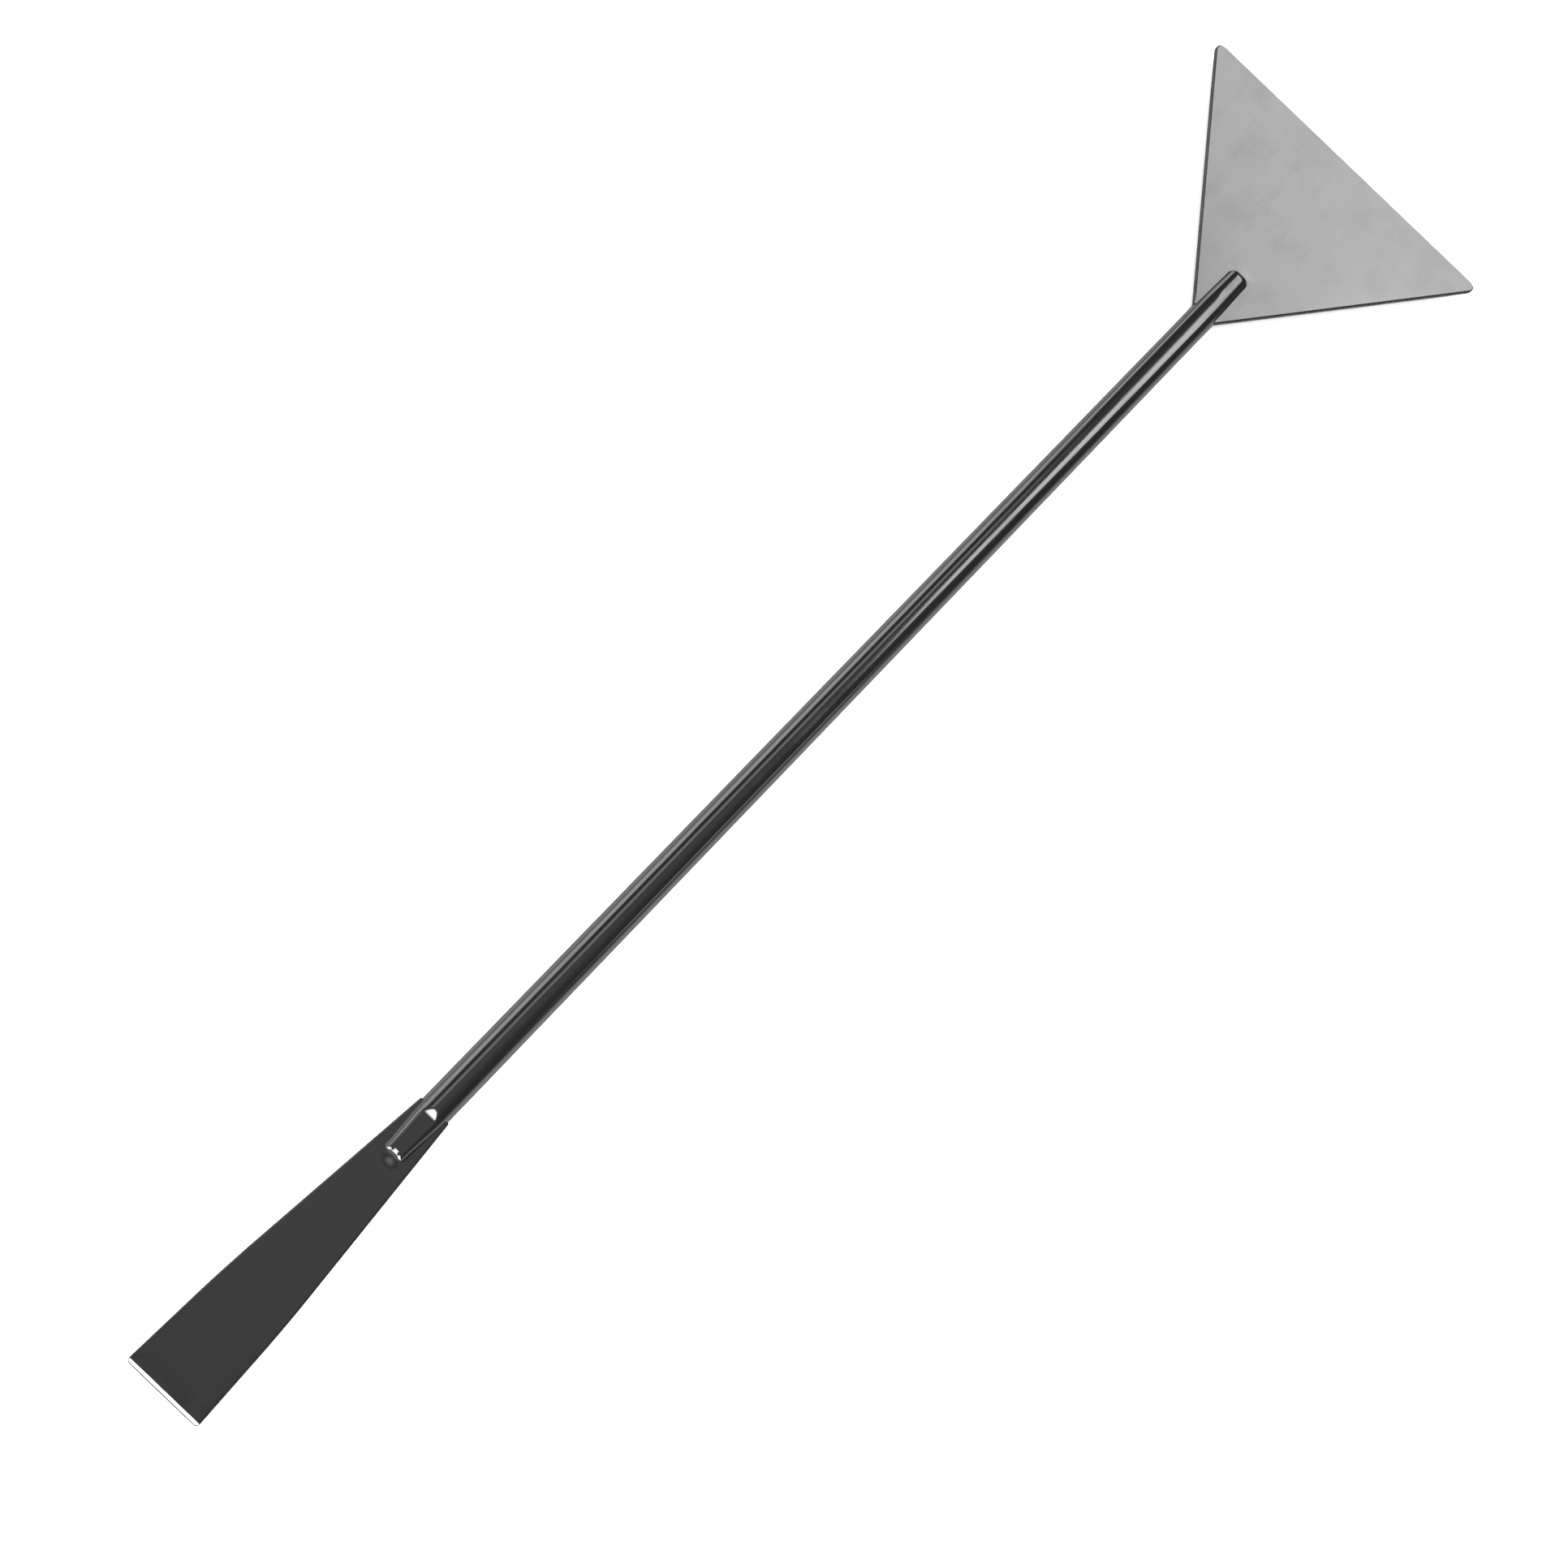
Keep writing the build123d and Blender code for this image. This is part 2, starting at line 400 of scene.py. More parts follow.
def tube_finish(finish):
    """Drawn and polished tube: fine lines and broad low waves along it, soft haze and a few pits."""
    metal = Finish("drawn_tube_steel")
    lines = metal.grain((9 * MM, 0.09 * MM, 0.09 * MM), detail=4)
    bands = metal.grain((60 * MM, 0.7 * MM, 0.7 * MM), detail=2)
    haze = metal.grain((14 * MM, 3 * MM, 3 * MM), detail=4)
    specks = metal.grain((0.25 * MM, 0.12 * MM, 0.12 * MM), detail=1)
    patches = metal.spread(haze, 0.45, 0.72, 0, 1)
    metal.colour_from(metal.join("MULTIPLY", patches, 0.7), (finish.steel, finish.hazed_steel))
    polish = metal.vary_polish(lines, finish.tube_polish, 0.03)
    metal.roughness_from(metal.join("ADD", polish, metal.join("MULTIPLY", patches, 0.06)))
    metal.raise_by(bands, 1.6 * MICRON)
    metal.raise_by(lines, 0.5 * MICRON)
    metal.raise_by(metal.spread(specks, 0.72, 0.8, 1, 0), 0.8 * MICRON)
    return metal.material


def blade_finish(finish):
    """Fine polished sheet: faint rolling lines along the tool and soft cloudy patches."""
    metal = Finish("rolled_sheet_steel")
    lines = metal.grain((12 * MM, 0.12 * MM, 2 * MM), detail=5)
    clouds = metal.grain((9 * MM, 7 * MM, 9 * MM), detail=5, roughness=0.6)
    patches = metal.spread(clouds, 0.42, 0.68, 0, 1)
    metal.colour_from(metal.join("MULTIPLY", patches, 0.15), (finish.steel, finish.hazed_steel))
    polish = metal.vary_polish(lines, finish.blade_polish, 0.015)
    metal.roughness_from(metal.join("ADD", polish, metal.join("MULTIPLY", patches, 0.03)))
    metal.raise_by(lines, 0.13 * MICRON)
    metal.raise_by(clouds, 2 * MICRON)
    return metal.material


def edge_finish(finish):
    """Ground edge of a blade: short lines across its thickness, a little duller than the faces."""
    metal = Finish("ground_edge_steel")
    lines = metal.grain((0.1 * MM, 0.1 * MM, 1.5 * MM), detail=4)
    wear = metal.grain((3 * MM, 3 * MM, 1 * MM), detail=3)
    metal.colour_from(metal.spread(wear, 0.35, 0.65, 0, 1), (finish.ground_steel, finish.worn_steel))
    metal.roughness_from(metal.vary_polish(lines, finish.edge_polish, 0.06))
    metal.raise_by(lines, 1.2 * MICRON)
    return metal.material


def weld_finish(finish):
    """Cleaned weld metal: dull, slightly granular and unevenly bright."""
    metal = Finish("cleaned_weld_steel")
    grains = metal.grain((0.12 * MM,) * 3, detail=4)
    cleaning = metal.grain((1.2 * MM, 0.6 * MM, 0.6 * MM), detail=3)
    metal.colour_from(metal.spread(cleaning, 0.35, 0.65, 0, 1), (finish.weld, finish.ground_steel))
    metal.roughness_from(metal.vary_polish(cleaning, finish.weld_polish, -0.1))
    metal.raise_by(grains, 6 * MICRON)
    return metal.material


def finish_named(name, make, settings):
    """The finish of this name, made when it is first asked for."""
    return bpy.data.materials.get(name) or make(settings.finish)


# ---------------------------------------------------------------- the handle tube


def tube_ring(sides):
    """The tube's outline at its scraper end, with points where the slots cut it, in edit mode."""
    clear_selection()
    bpy.ops.mesh.primitive_circle_add(
        vertices=sides, radius=TUBE_RADIUS, location=(TUBE_LOW.x, 0, AXIS_Z), rotation=(0, pi / 2, 0)
    )
    tube = bpy.context.object
    tube.name = tube.data.name = "handle_tube_skin"
    bpy.ops.object.transform_apply(location=True, rotation=True, scale=True)
    start_edit(tube)
    for height in (BLADE_FLOOR, BLADE_TOP):
        bpy.ops.mesh.select_all(action="SELECT")
        cut((0, 0, height), (0, 0, 1))
    return tube


def tube_stations():
    """Places along X of the tube's rings: close together over the slots, wider apart between them."""
    first_step = 0.24 * MM  # leaves room for the rounding of the rim
    scraper_rings, middle_rings, sand_rings = 50, 36, 56
    scraper_side = [TUBE_LOW.x] + steps(TUBE_LOW.x + first_step, SCRAPER_ROOT, scraper_rings)
    between = steps(SCRAPER_ROOT, SAND_ROOT, middle_rings)[1:-1]
    sand_side = steps(SAND_ROOT, TUBE_HIGH.x - first_step, sand_rings) + [TUBE_HIGH.x]
    return scraper_side + between + sand_side


def open_slots(tube):
    """Takes the tube's side walls away where the blades pass through them."""

    def in_slot(p):
        return (p.x < SCRAPER_ROOT or p.x > SAND_ROOT) and BLADE_FLOOR < p.z < BLADE_TOP

    pick(tube, "faces", lambda f: in_slot(middle(f)))
    bpy.ops.mesh.delete(type="FACE")


def round_tongue_end(tube, end_x, inward, radius, reach):
    """Draws the outer columns of a tongue back from the tube's end, so that its corners are round."""

    def on_tongue(p):
        return p.z > BLADE_TOP - HAIR and (p.x - end_x) * inward < reach

    mesh = bmesh.from_edit_mesh(tube.data)
    columns = {round(abs(v.co.y), 7) for v in mesh.verts if on_tongue(v.co)}
    for column in sorted(columns):
        over = column - (TONGUE_FOOT - radius)
        if over > 0:
            drawn_back = radius - sqrt(max(0.0, radius**2 - over**2))
            pick(tube, "verts", lambda v: on_tongue(v.co) and near(abs(v.co.y), column, 2e-7))
            scale(((reach - drawn_back) / reach, 1, 1), (end_x + inward * reach, 0, AXIS_Z))


def press_tongue(tube, depth):
    """Presses a tongue's crown flat: depth(x) is how far below the free tube's top it ends up."""
    for x in places_along(tube, lambda p: near(p.y, 0, 1e-5) and depth(p.x) > 1e-7):
        level = TUBE_HIGH.z - depth(x)
        pick(tube, "verts", lambda v: place_along(v.co) == x and v.co.z > level)
        scale((1, 1, 0), (x, 0, level))


def lower_tongue(tube, drop, pinch):
    """Squeezes the tongues' rings: drop(x) of the height over the blade and pinch(x) of the width."""
    for x in places_along(tube, lambda p: drop(p.x) > HAIR or pinch(p.x) > HAIR):
        pick(tube, "verts", lambda v: place_along(v.co) == x and v.co.z > BLADE_TOP - HAIR)
        scale((1, 1 - pinch(x), 1 - drop(x)), (x, 0, BLADE_TOP))


def sand_press_at(x, depth):
    """How deep the sand blade's tongue is pressed at this x, growing softly away from its root."""
    start, ramp = 2.6 * MM, 3.2 * MM
    return depth * ease((x - SAND_ROOT - start) / ramp)


def scraper_press_at(x, depth):
    """How deep the scraper's tongue is pressed at this x, growing away from its root."""
    start, ramp = 0.2 * MM, 1.9 * MM
    return depth * ease((SCRAPER_ROOT - start - x) / ramp)


def pinch_at(x):
    """The share of its width that a tongue has lost at this x, growing from its root to its end."""
    scraper_pinch, sand_pinch = 0.17, 0.09
    scraper_part = (SCRAPER_ROOT - x) / (SCRAPER_ROOT - TUBE_LOW.x)
    sand_part = (x - SAND_ROOT) / (TUBE_HIGH.x - SAND_ROOT)
    return scraper_pinch * ease(scraper_part) + sand_pinch * ease(sand_part)


def tip_down(x):
    """The share of its height that the sand blade's tongue has lost at this x, near its bent end."""
    bend, slope, soft = 1.1 * MM, 0.24, 0.12 * MM
    crown = TUBE_HIGH.z - BLADE_TOP
    beyond = bend - (TUBE_HIGH.x - x)
    if beyond <= 0:
        return 0.0
    return slope * (beyond - soft * (1 - exp(-beyond / soft))) / crown


def soften_tongues(tube):
    """Evens the pressed crowns out in height; the tongues' ends stay as they are."""
    scraper_end, sand_end = 0.3 * MM, 1.4 * MM

    def on_crown(p):
        on_scraper = TUBE_LOW.x + scraper_end < p.x < SCRAPER_ROOT + MM
        on_sand = SAND_ROOT < p.x < TUBE_HIGH.x - sand_end
        return p.z > BLADE_TOP + 0.1 * MM and (on_scraper or on_sand)

    pick(tube, "verts", lambda v: on_crown(v.co))
    bpy.ops.mesh.vertices_smooth(factor=0.5, repeat=2, xaxis=False, yaxis=False, zaxis=True)


def dent_tongue_end(tube):
    """Taps a small dent into the middle of the scraper tongue's end."""
    half_width, depth, reach = 0.3 * MM, 0.13 * MM, 0.65 * MM

    def at_end(p):
        return near(p.x, TUBE_LOW.x) and abs(p.y) < half_width and p.z > BLADE_TOP

    pick(tube, "verts", lambda v: at_end(v.co))
    shift((0, 0, -depth), reach)


def seat_tongues(tube):
    """Brings the wall's inner edges beside the tongues up to the level of the blades' top faces."""
    above_lips = BLADE_FLOOR + 0.3 * MM  # the lower lips have no points above this

    def under_tongue(p):
        at_slot = p.x < SCRAPER_ROOT - HAIR or p.x > SAND_ROOT + HAIR
        return at_slot and above_lips < p.z < BLADE_TOP - HAIR

    pick(tube, "verts", lambda v: under_tongue(v.co))
    scale((1, 1, 0), (0, 0, BLADE_TOP))


def close_tongue_end(tube):
    """Presses the wall's inner edge at the scraper tongue's end nearly down to the blade."""
    end_zone, height_left = 0.3 * MM, 0.2
    crease = bmesh.from_edit_mesh(tube.data).edges.layers.float["crease_edge"]

    def at_inner_edge(vert):
        at_end = vert.co.x < TUBE_LOW.x + end_zone and vert.co.z > BLADE_TOP + HAIR
        on_rim = any(face.normal.x < -END_FACING for face in vert.link_faces)
        return at_end and on_rim and not any(edge[crease] > CREASED for edge in vert.link_edges)

    pick(tube, "verts", at_inner_edge)
    scale((1, 1, height_left), (0, 0, BLADE_TOP))


def round_rims(tube, radius, segments):
    """Rounds the outer edge at each end of the tube; the wall's outer rim comes creased."""
    scraper_zone, sand_zone = 0.5 * MM, MM
    crease = bmesh.from_edit_mesh(tube.data).edges.layers.float["crease_edge"]

    def at_rim(edge):
        place = middle(edge).x
        at_end = place < TUBE_LOW.x + scraper_zone or place > TUBE_HIGH.x - sand_zone
        facing = max(abs(face.normal.x) for face in edge.link_faces)
        return edge[crease] > CREASED and at_end and facing > END_FACING

    pick(tube, "edges", at_rim)
    bpy.ops.mesh.bevel(offset=radius, segments=segments, clamp_overlap=True)


class SCRAPER_OT_handle_tube(bpy.types.Operator):
    """Models the handle: a polished tube with a slot and a pressed tongue at each end"""

    bl_idname = "algae_scraper.handle_tube"
    bl_label = "Handle Tube"

    def execute(self, context):
        settings = context.scene.algae_scraper
        sizes = settings.sizes
        tube = tube_ring(sizes.tube_sides)
        bpy.ops.mesh.select_all(action="SELECT")
        stations = tube_stations()
        for here, there in zip(stations, stations[1:]):
            extrude((there - here, 0, 0))
        turn_outwards()
        open_slots(tube)
        round_tongue_end(tube, TUBE_HIGH.x, inward=-1, radius=0.65 * MM, reach=2.6 * MM)
        round_tongue_end(tube, TUBE_LOW.x, inward=1, radius=0.25 * MM, reach=2.0 * MM)
        press_tongue(tube, lambda x: sand_press_at(x, sizes.sand_press))
        press_tongue(tube, lambda x: scraper_press_at(x, sizes.scraper_press))
        lower_tongue(tube, tip_down, pinch_at)
        soften_tongues(tube)
        dent_tongue_end(tube)
        end_edit()
        apply_modifier(
            tube,
            "SOLIDIFY",
            thickness=sizes.tube_wall,
            offset=-1,
            use_even_offset=True,
            edge_crease_outer=1.0,
        )
        start_edit(tube)
        seat_tongues(tube)
        close_tongue_end(tube)
        round_rims(tube, sizes.rim_radius, segments=4)
        end_edit()
        smooth_faces(tube, radians(40))
        steel = finish_named("drawn_tube_steel", tube_finish, settings)
        finish_piece(tube, "handle_tube", [steel])
        return {"FINISHED"}


# ---------------------------------------------------------------- the blades


def blade_blank(name, low, high):
    """A thin rectangular blank that fills a blade's box, as one face at its underside, in edit mode."""
    clear_selection()
    centre = ((low.x + high.x) / 2, 0, low.z)
    bpy.ops.mesh.primitive_plane_add(size=1, location=centre)
    blank = bpy.context.object
    blank.name = blank.data.name = name
    bpy.ops.object.transform_apply(location=True, rotation=True, scale=True)
    start_edit(blank)
    bpy.ops.mesh.select_all(action="SELECT")
    scale((high.x - low.x, 1, 1), centre)
    return blank


def set_width(blank, x, width):
    """Scales the points at this x to a width."""
    mesh = bmesh.from_edit_mesh(blank.data)
    now = 2 * max(abs(v.co.y) for v in mesh.verts if near(v.co.x, x))
    pick(blank, "verts", lambda v: near(v.co.x, x))
    scale((1, width / now, 1), (x, 0, 0))


def thicken(thickness):
    """Extrudes the whole outline upwards and turns every face outwards."""
    bpy.ops.mesh.select_all(action="SELECT")
    extrude((0, 0, thickness))
    turn_outwards()


def upright(edge):
    a, b = edge.verts
    return near(a.co.x, b.co.x) and near(a.co.y, b.co.y)


def round_corners(blank, x, offset, segments):
    """Rounds the upright edges at this x."""
    pick(blank, "edges", lambda e: upright(e) and near(middle(e).x, x))
    bpy.ops.mesh.bevel(offset=offset, segments=segments)


def pucker(blank, centre, half_size, lift, reach):
    """Raises a soft swelling on the top face, in a patch that is first divided finely."""
    cx, cy = centre
    patch_cuts = 31
    sides = (
        (cx - half_size, cy, 1, 0),
        (cx + half_size, cy, 1, 0),
        (cx, cy - half_size, 0, 1),
        (cx, cy + half_size, 0, 1),
    )

    def on_top(face):
        return face.normal.z > 0.99 and near(middle(face).z, BLADE_TOP, MM / 50)

    def in_patch(p):
        return abs(p.x - cx) < half_size + HAIR and abs(p.y - cy) < half_size + HAIR

    def at_centre(p):
        return near(p.z, BLADE_TOP) and (p.xy - Vector(centre)).length < half_size / 20

    for x, y, across, along in sides:
        pick(blank, "faces", on_top)
        cut((x, y, 0), (across, along, 0))
    pick(blank, "faces", lambda f: on_top(f) and all(in_patch(v.co) for v in f.verts))
    bpy.ops.mesh.subdivide(number_cuts=patch_cuts)
    pick(blank, "verts", lambda v: at_centre(v.co))
    shift((0, 0, lift), reach)


def round_outline(blank, radius, keep_sharp):
    """Rounds the edges between the faces and the sides, except where keep_sharp says so."""
    side_angle = radians(60)

    def to_round(edge):
        return not upright(edge) and edge.calc_face_angle() > side_angle and not keep_sharp(middle(edge))

    pick(blank, "edges", to_round)
    bpy.ops.mesh.bevel(offset=radius, segments=5)


def part_edge_faces(blank):
    """Gives everything but the two broad faces the second material."""
    level = 0.985  # a broad face's normal has at least this much of Z
    pick(blank, "faces", lambda f: abs(f.normal.z) < level)
    for face in bmesh.from_edit_mesh(blank.data).faces:
        face.material_index = int(face.select)


def blade_materials(settings):
    return [
        finish_named("rolled_sheet_steel", blade_finish, settings),
        finish_named("ground_edge_steel", edge_finish, settings),
    ]


class SCRAPER_OT_sand_blade(bpy.types.Operator):
    """Models the triangular blade with round corners and buffed edges"""

    bl_idname = "algae_scraper.sand_blade"
    bl_label = "Sand Blade"

    def execute(self, context):
        settings = context.scene.algae_scraper
        sizes = settings.sizes
        edge_x = SAND_HIGH.x
        blade = blade_blank("sand_blade_sheet", SAND_LOW, SAND_HIGH)
        set_width(blade, edge_x, sizes.sand_width)
        set_width(blade, SAND_ROOT, sizes.sand_width * (1 - (edge_x - SAND_ROOT) / sizes.sand_height))
        thicken(BLADE_TOP - BLADE_FLOOR)
        round_corners(blade, edge_x, sizes.sand_corner, segments=12)
        beside_tongue = (TUBE_HIGH.x + 0.9 * MM, -0.5 * MM)
        pucker(blade, beside_tongue, half_size=3.2 * MM, lift=0.045 * MM, reach=2.2 * MM)
        round_outline(blade, sizes.edge_radius, lambda p: p.x < SAND_ROOT + MM / 10)
        part_edge_faces(blade)
        end_edit()
        smooth_faces(blade, radians(40))
        finish_piece(blade, "sand_blade", blade_materials(settings))
        return {"FINISHED"}


class SCRAPER_OT_scraper_blade(bpy.types.Operator):
    """Models the narrow scraper blade with its relieved and bevelled tip"""

    bl_idname = "algae_scraper.scraper_blade"
    bl_label = "Scraper Blade"

    def execute(self, context):
        settings = context.scene.algae_scraper
        sizes = settings.sizes
        tip_x = SCRAPER_LOW.x
        shoulder_x = tip_x + sizes.scraper_shoulder
        blade = blade_blank("scraper_blade_sheet", SCRAPER_LOW, SCRAPER_HIGH)
        cut((shoulder_x, 0, 0), (1, 0, 0))
        set_width(blade, tip_x, sizes.scraper_tip_width)
        set_width(blade, shoulder_x, sizes.scraper_shoulder_width)
        set_width(blade, SCRAPER_ROOT, sizes.scraper_root_width)
        bpy.ops.mesh.select_all(action="SELECT")
        bpy.ops.mesh.dissolve_limited(angle_limit=radians(1))
        thicken(BLADE_TOP - BLADE_FLOOR)
        round_corners(blade, shoulder_x, 5 * MM, segments=10)
        round_corners(blade, tip_x, sizes.scraper_corner, segments=8)
        bpy.ops.mesh.select_all(action="SELECT")
        relief_start = Vector((tip_x + sizes.relief_length, 0, BLADE_TOP))
        cut(relief_start, (-sizes.relief_depth, 0, sizes.relief_length), drop_outer=True)
        bpy.ops.mesh.select_all(action="SELECT")
        bevel_start = Vector((tip_x + sizes.bevel_length, 0, BLADE_TOP - sizes.relief_depth))
        cut(bevel_start, (-sizes.bevel_depth, 0, sizes.bevel_length), drop_outer=True)
        turn_outwards()
        beside_tongue = (TUBE_LOW.x + 0.2 * MM, -0.3 * MM)
        pucker(blade, beside_tongue, half_size=2.6 * MM, lift=0.2 * MM, reach=2.5 * MM)

        def keep_sharp(p):
            at_bevel = p.x < bevel_start.x and p.z > BLADE_FLOOR + HAIR
            return at_bevel or p.x > SCRAPER_ROOT - MM / 10

        round_outline(blade, sizes.edge_radius, keep_sharp)
        part_edge_faces(blade)
        end_edit()
        smooth_faces(blade, radians(30))
        finish_piece(blade, "scraper_blade", blade_materials(settings))
        return {"FINISHED"}


# ---------------------------------------------------------------- the weld beads


def bead_radius_at(along, length, radius):
    """A bead's radius at a place along it: round at both ends, with the ripples of its solidifying."""
    round_length = 0.4 * MM
    ripple_length = 0.62 * MM
    ripple = 0.04
    from_end = min(along, length - along)
    rounding = sqrt(1 - max(0.0, 1 - from_end / round_length) ** 2)
    return radius * rounding * (1 - ripple + ripple * cos(2 * pi * along / ripple_length))


def weld_beads(name, node, radius):
    """A pair of rippled beads, one on each side of the tube, under a blade."""
    low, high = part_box(node)
    beside, below = TUBE_RADIUS + 0.08 * MM, BLADE_FLOOR - 0.1 * MM
    length = high.x - low.x
    cap, first_ring, spacing = 0.02 * MM, 0.08 * MM, 0.1 * MM
    rings = steps(first_ring, length - first_ring, round(length / spacing))
    stops = [cap] + rings + [length - cap]
    radii = [bead_radius_at(stop, length, radius) for stop in stops]
    clear_selection()
    bpy.ops.mesh.primitive_circle_add(
        vertices=20,
        radius=radii[0],
        location=(low.x + stops[0], beside, below),
        rotation=(0, pi / 2, 0),
        fill_type="NGON",
    )
    beads = bpy.context.object
    beads.name = beads.data.name = name
    bpy.ops.object.transform_apply(location=True, rotation=True, scale=True)
    start_edit(beads)
    bpy.ops.mesh.select_all(action="SELECT")
    for i in range(1, len(stops)):
        extrude((stops[i] - stops[i - 1], 0, 0))
        grow = radii[i] / radii[i - 1]
        scale((1, grow, grow), (low.x + stops[i], beside, below))
    bpy.ops.mesh.select_all(action="SELECT")
    bpy.ops.mesh.duplicate()
    scale((1, -1, 1), (0, 0, 0))
    turn_outwards()
    end_edit()
    return beads


class SCRAPER_OT_weld_beads(bpy.types.Operator):
    """Models the two pairs of weld beads that hold the blades in the tube's lower lips"""

    bl_idname = "algae_scraper.weld_beads"
    bl_label = "Weld Beads"

    def execute(self, context):
        settings = context.scene.algae_scraper
        pairs = (("sand_blade_beads", "sand_blade_tacks"), ("scraper_beads", "scraper_tacks"))
        for name, node in pairs:
            beads = weld_beads(name, node, settings.sizes.bead_radius)
            smooth_faces(beads, radians(60))
            metal = finish_named("cleaned_weld_steel", weld_finish, settings)
            finish_piece(beads, node, [metal])
        return {"FINISHED"}


# ---------------------------------------------------------------- the studio


def panel_light(name, place, target, width, height, brightness):
    """A soft rectangular light at a place, facing a target, that the camera doesn't see."""
    clear_selection()
    facing = (Vector(target) - Vector(place)).to_track_quat("-Z", "Y").to_euler()
    bpy.ops.object.light_add(type="AREA", location=place, rotation=facing)
    light = bpy.context.object
    light.name = light.data.name = name
    light.data.shape = "RECTANGLE"
    light.data.size, light.data.size_y = width, height
    light.data.energy = brightness * pi * width * height
    light.visible_camera = False
    return light


def surround():
    """A white surround for the camera and the floor, and for the steel a dim room with a grey ground."""
    room_brightness = (  # degrees above the horizon, brightness
        (-90, 0.12),
        (-60, 0.15),
        (-45, 0.22),
        (-32, 0.30),
        (-20, 0.27),
        (-8, 0.19),
        (0, 0.08),
        (4, 0.032),
        (30, 0.032),
        (50, 0.05),
        (66, 0.08),
        (69, 0.065),
        (71, 0.022),
        (73.5, 0.022),
        (75.5, 0.12),
        (79, 0.24),
        (90, 0.26),
    )
    world = bpy.data.worlds.new("Surround")
    bpy.context.scene.world = world
    world.use_nodes = True
    nodes, links = world.node_tree.nodes, world.node_tree.links
    nodes.clear()
    out = nodes.new("ShaderNodeOutputWorld")
    pale = nodes.new("ShaderNodeBackground")
    pale.inputs["Color"].default_value = (1, 1, 1, 1)
    room = nodes.new("ShaderNodeBackground")
    mix = nodes.new("ShaderNodeMixShader")
    rays = nodes.new("ShaderNodeLightPath")
    where = nodes.new("ShaderNodeTexCoord")
    split = nodes.new("ShaderNodeSeparateXYZ")
    ramp = nodes.new("ShaderNodeValToRGB")
    stops = ramp.color_ramp.elements
    while len(stops) < len(room_brightness):
        stops.new(0.5)
    for stop, (degrees, brightness) in zip(stops, room_brightness):
        stop.position = (1 + sin(radians(degrees))) / 2
        stop.color = (brightness, brightness, brightness, 1)
    height = nodes.new("ShaderNodeMath")
    height.operation = "MULTIPLY_ADD"
    height.inputs[1].default_value = 0.5
    height.inputs[2].default_value = 0.5
    links.new(where.outputs["Generated"], split.inputs[0])
    links.new(split.outputs["Z"], height.inputs[0])
    links.new(height.outputs[0], ramp.inputs[0])
    links.new(ramp.outputs["Color"], room.inputs["Color"])
    seen_white = nodes.new("ShaderNodeMath")
    seen_white.operation = "MAXIMUM"
    links.new(rays.outputs["Is Camera Ray"], seen_white.inputs[0])
    links.new(rays.outputs["Is Diffuse Ray"], seen_white.inputs[1])
    links.new(seen_white.outputs[0], mix.inputs[0])
    links.new(room.outputs[0], mix.inputs[1])
    links.new(pale.outputs[0], mix.inputs[2])
    links.new(mix.outputs[0], out.inputs[0])


def paper_floor():
    """A large sheet of white paper just under the tool, which the steel doesn't mirror."""
    sheet_size, gap = 8, 0.5 * MM
    clear_selection()
    bpy.ops.mesh.primitive_plane_add(size=sheet_size, location=(0, 0, CAD_BOX[0].z - gap))
    floor = bpy.context.object
    floor.name = floor.data.name = "floor"
    paper = bpy.data.materials.new("white_paper")
    paper.use_nodes = True
    shader = paper.node_tree.nodes["Principled BSDF"]
    shader.inputs["Base Color"].default_value = (0.9, 0.9, 0.9, 1)
    shader.inputs["Roughness"].default_value = 0.9
    floor.data.materials.append(paper)
    floor.visible_glossy = False


def soft_lights(wash):
    """Plain panels for the steel to reflect, and a wash over the floor that the steel doesn't show."""
    over_floor = panel_light("wash", (0, 0, 2.2), (0, 0, 0), 4, 4, wash)
    over_floor.visible_glossy = False
    panel_light("far_panel", (0.95, 0, 0.665), (0, 0, 0.665), 0.28, 0.43, 0.74)
    panel_light("far_panel_top", (0.949, 0, 0.93), (0, 0, 0.93), 0.07, 0.10, 0.74)
    panel_light("far_line", (0.95, 0, 0.10), (0, 0, 0.10), 0.3, 0.12, 1.6)
    panel_light("streak_panel", (0.42, -0.08, 0.40), (0, -0.08, 0.40), 0.10, 0.22, 0.74)
    panel_light("streak_panel_side", (0.42, -0.1825, 0.375), (0, -0.1825, 0.375), 0.105, 0.27, 0.74)
    panel_light("side_strip", (0.115, 0.6, 0.18), (0.115, 0, 0.18), 1.03, 0.34, 0.40)
    panel_light("side_strip_end", (0.815, 0.6, 0.105), (0.815, 0, 0.105), 0.37, 0.19, 0.40)
    panel_light("high_strip", (0.40, 0.30, 0.62), (0.40, 0, 0), 0.46, 0.2, 0.17)
    panel_light("low_glow", (0.36, -0.57, 0.165), (0.36, 0, 0.165), 0.15, 0.12, 0.19)
    panel_light("near_panel", (-0.79, 0, 0.57), (-0.11, 0, 0), 0.5, 0.36, 6.4)
    panel_light("overhead_panel", (-0.2, 0, 1.05), (-0.2, 0.001, 0), 0.36, 0.16, 1.6)


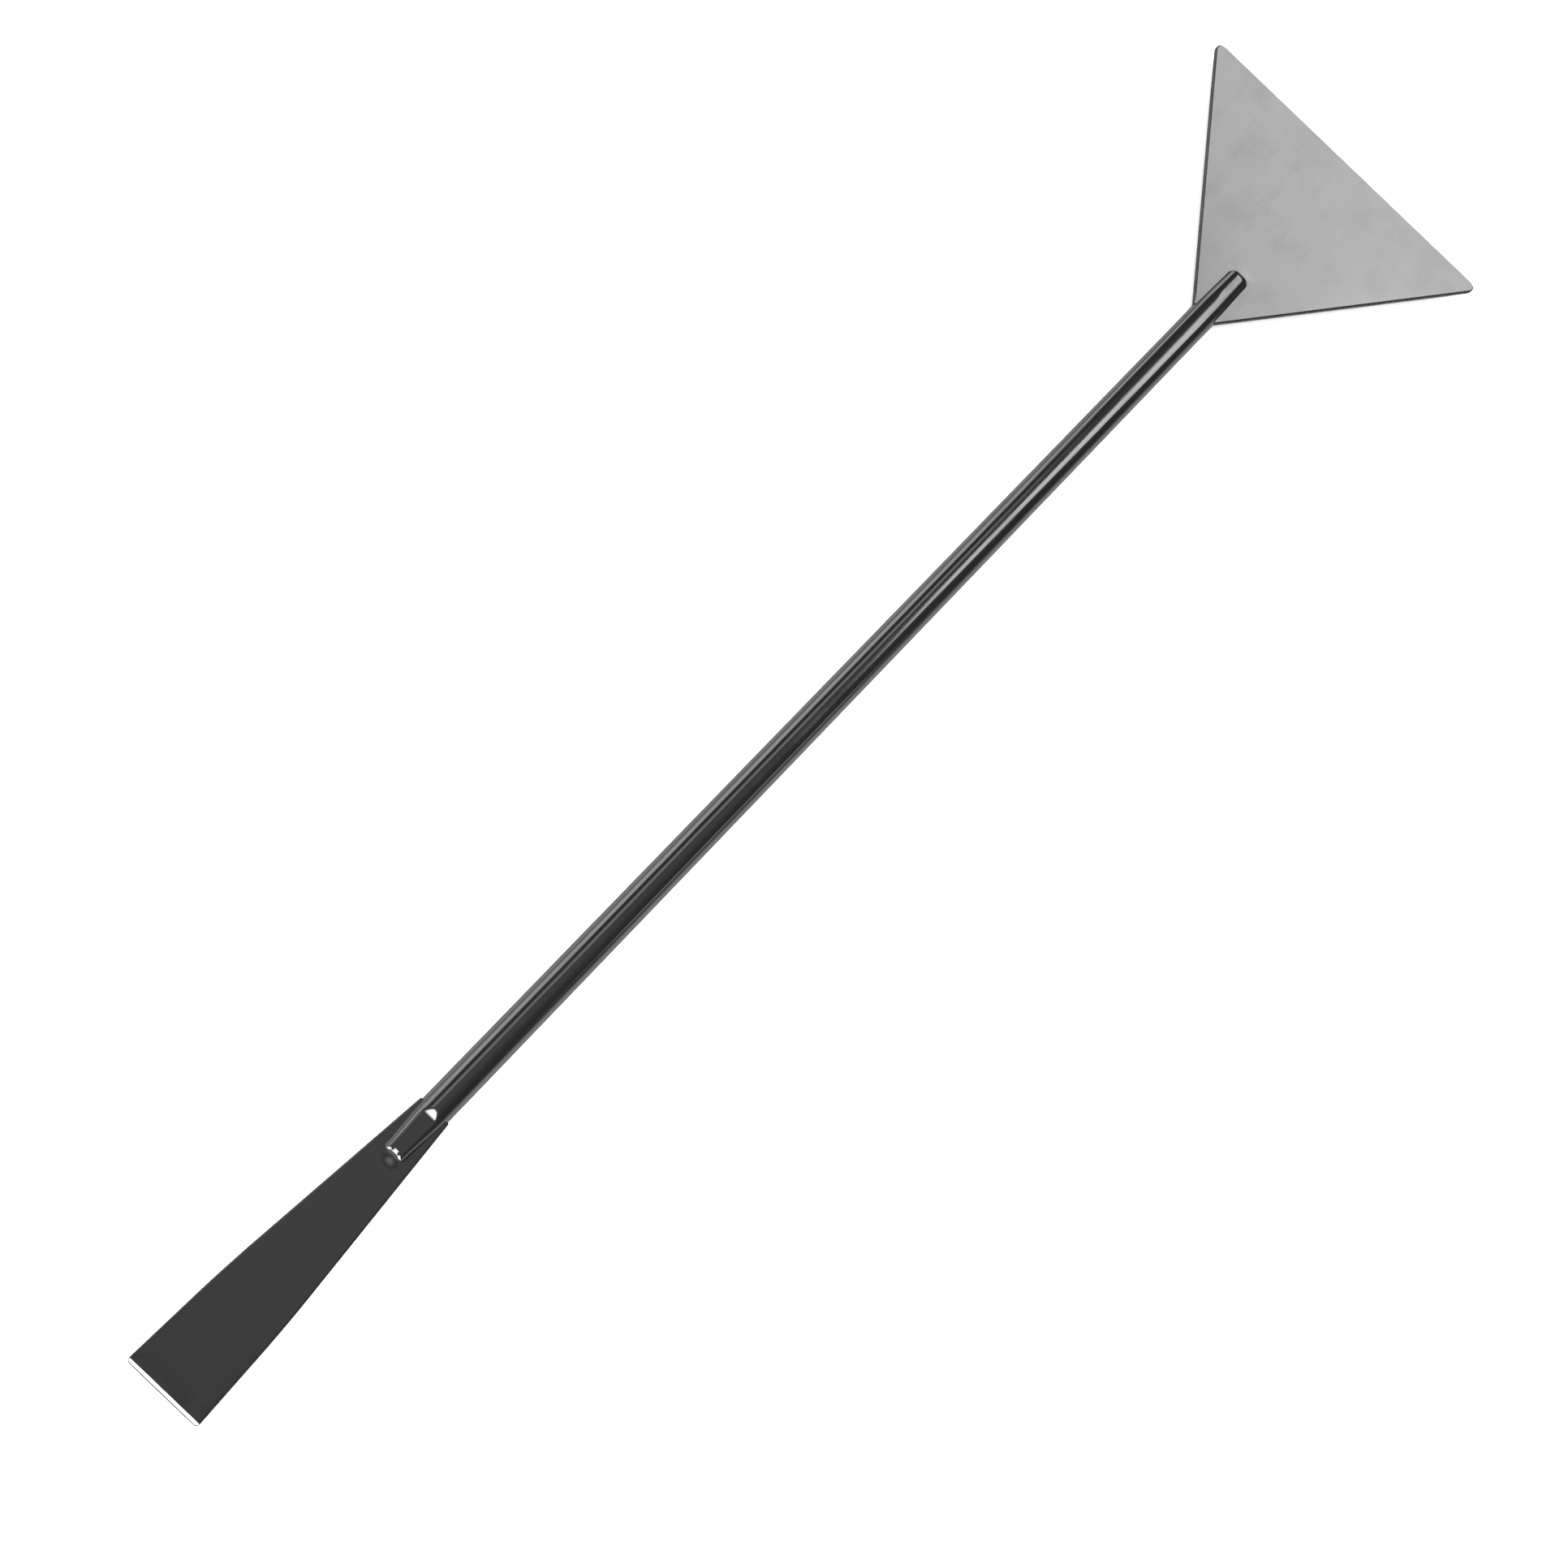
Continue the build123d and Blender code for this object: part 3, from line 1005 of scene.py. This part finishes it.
def product_camera(studio):
    """The camera: it looks along the tool from the scraper's end, rolled so that the tool lies aslant."""
    forward = Vector((cos(studio.elevation), 0, -sin(studio.elevation)))
    along = Vector((sin(studio.elevation), 0, cos(studio.elevation)))
    aside = Vector((0, -1, 0))
    right = along * cos(studio.roll) + aside * sin(studio.roll)
    up = along * sin(studio.roll) - aside * cos(studio.roll)
    aim = Vector((studio.aim_along, studio.aim_across, AXIS_Z))
    turn = Matrix((right, up, -forward)).transposed().to_4x4()
    bpy.ops.object.camera_add()
    camera = bpy.context.object
    camera.name = camera.data.name = "camera"
    camera.matrix_world = Matrix.Translation(aim - forward * studio.distance) @ turn
    camera.data.lens = studio.lens
    camera.data.sensor_width = 36
    camera.data.clip_start = 0.01
    camera.data.clip_end = 50
    bpy.context.scene.camera = camera


class SCRAPER_OT_studio(bpy.types.Operator):
    """Sets the pale floor, the soft lights and the camera"""

    bl_idname = "algae_scraper.studio"
    bl_label = "Studio"

    def execute(self, context):
        studio = context.scene.algae_scraper.studio
        context.scene.view_settings.view_transform = "Standard"
        surround()
        paper_floor()
        soft_lights(studio.wash)
        product_camera(studio)
        return {"FINISHED"}


# ---------------------------------------------------------------- the sidebar and the run


class SCRAPER_PT_panel(bpy.types.Panel):
    """Lists the steps in the sidebar"""

    bl_idname = "SCRAPER_PT_panel"
    bl_label = "Algae Scraper"
    bl_space_type = "VIEW_3D"
    bl_region_type = "UI"
    bl_category = "Algae Scraper"

    def draw(self, context):
        for step in STEPS:
            self.layout.operator(step.bl_idname)


STEPS = (
    SCRAPER_OT_handle_tube,
    SCRAPER_OT_sand_blade,
    SCRAPER_OT_scraper_blade,
    SCRAPER_OT_weld_beads,
    SCRAPER_OT_studio,
)
CLASSES = (ScraperSizes, ScraperFinish, ScraperStudio, ScraperSettings, *STEPS, SCRAPER_PT_panel)


def register():
    for cls in CLASSES:
        bpy.utils.register_class(cls)
    bpy.types.Scene.algae_scraper = PointerProperty(type=ScraperSettings)


def unregister():
    del bpy.types.Scene.algae_scraper
    for cls in reversed(CLASSES):
        bpy.utils.unregister_class(cls)


def main():
    register()
    bpy.ops.algae_scraper.handle_tube()
    bpy.ops.algae_scraper.sand_blade()
    bpy.ops.algae_scraper.scraper_blade()
    bpy.ops.algae_scraper.weld_beads()
    bpy.ops.algae_scraper.studio()


if __name__ == "__main__":
    main()
